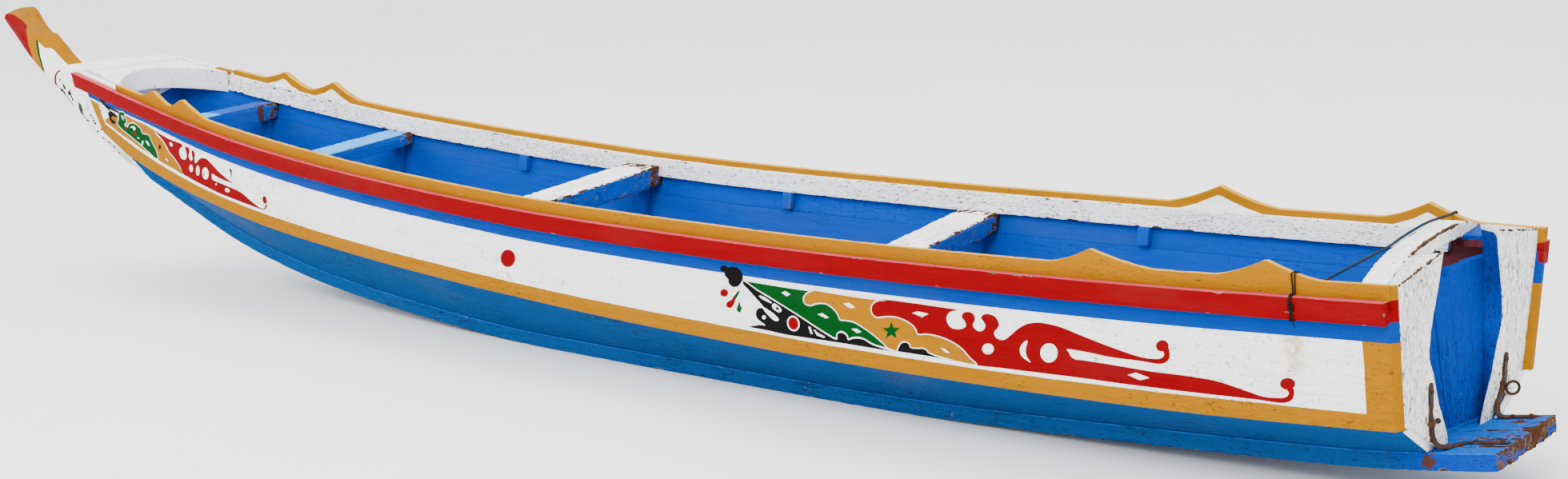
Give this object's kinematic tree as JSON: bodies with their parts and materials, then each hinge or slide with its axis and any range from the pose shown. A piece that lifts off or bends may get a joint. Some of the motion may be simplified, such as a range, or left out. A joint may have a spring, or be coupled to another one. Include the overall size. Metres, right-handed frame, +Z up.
{
  "type": "fishing pirogue",
  "caption": "Long narrow plank-built fishing pirogue on a flat keel log, with an upswept prow, painted stripes, crossing thwarts, a recessed transom and carved crest boards.",
  "frame": {"origin": "on the floor under the middle of the overall length, on the centreline", "axes": "+X towards the bow, +Y to port, +Z up"},
  "size_m": [8.93, 1.385, 1.39],
  "materials": {
    "deep_blue_paint": "worn gloss paint",
    "blue_paint": "worn gloss paint",
    "white_paint": "worn gloss paint",
    "yellow_paint": "worn gloss paint",
    "red_paint": "worn gloss paint",
    "old_iron": "rusted",
    "rope": "twisted cord"
  },
  "bodies": {
    "root": {"bottom_plank_aft_port": "deep_blue_paint", "bottom_plank_aft_starboard": "deep_blue_paint", "bottom_plank_fore_port": "deep_blue_paint", "bottom_plank_fore_starboard": "deep_blue_paint", "bottom_plank_middle_port": "deep_blue_paint", "bottom_plank_middle_starboard": "deep_blue_paint", "cheek_port": "white_paint", "cheek_starboard": "white_paint", "cleat_1_port": "blue_paint", "cleat_1_starboard": "blue_paint", "cleat_2_port": "blue_paint", "cleat_2_starboard": "blue_paint", "cleat_3_port": "blue_paint", "cleat_3_starboard": "blue_paint", "corner_block": "blue_paint", "crest_board_port": "yellow_paint", "crest_board_starboard": "yellow_paint", "crossbeam": "white_paint", "foredeck": "white_paint", "inwale_port": "white_paint", "inwale_starboard": "white_paint", "keel_log": "deep_blue_paint", "prow": "white_paint", "rail_lashing": "rope", "rib_1_port": "blue_paint", "rib_1_starboard": "blue_paint", "rib_2_port": "blue_paint", "rib_2_starboard": "blue_paint", "rib_3_port": "blue_paint", "rib_3_starboard": "blue_paint", "rib_4_port": "blue_paint", "rib_4_starboard": "blue_paint", "rub_rail_port": "red_paint", "rub_rail_starboard": "red_paint", "sheer_strake_aft_port": "blue_paint", "sheer_strake_aft_starboard": "blue_paint", "sheer_strake_fore_port": "blue_paint", "sheer_strake_fore_starboard": "blue_paint", "sheer_strake_middle_port": "blue_paint", "sheer_strake_middle_starboard": "blue_paint", "side_strake_aft_port": "white_paint", "side_strake_aft_starboard": "white_paint", "side_strake_fore_port": "white_paint", "side_strake_fore_starboard": "white_paint", "side_strake_middle_port": "white_paint", "side_strake_middle_starboard": "white_paint", "stern_line": "rope", "strap_port": "old_iron", "strap_ring": "old_iron", "strap_starboard": "old_iron", "thwart_1": "blue_paint", "thwart_2": "blue_paint", "thwart_3": "white_paint", "thwart_4": "white_paint", "transom": "blue_paint"}
  },
  "joints": []
}
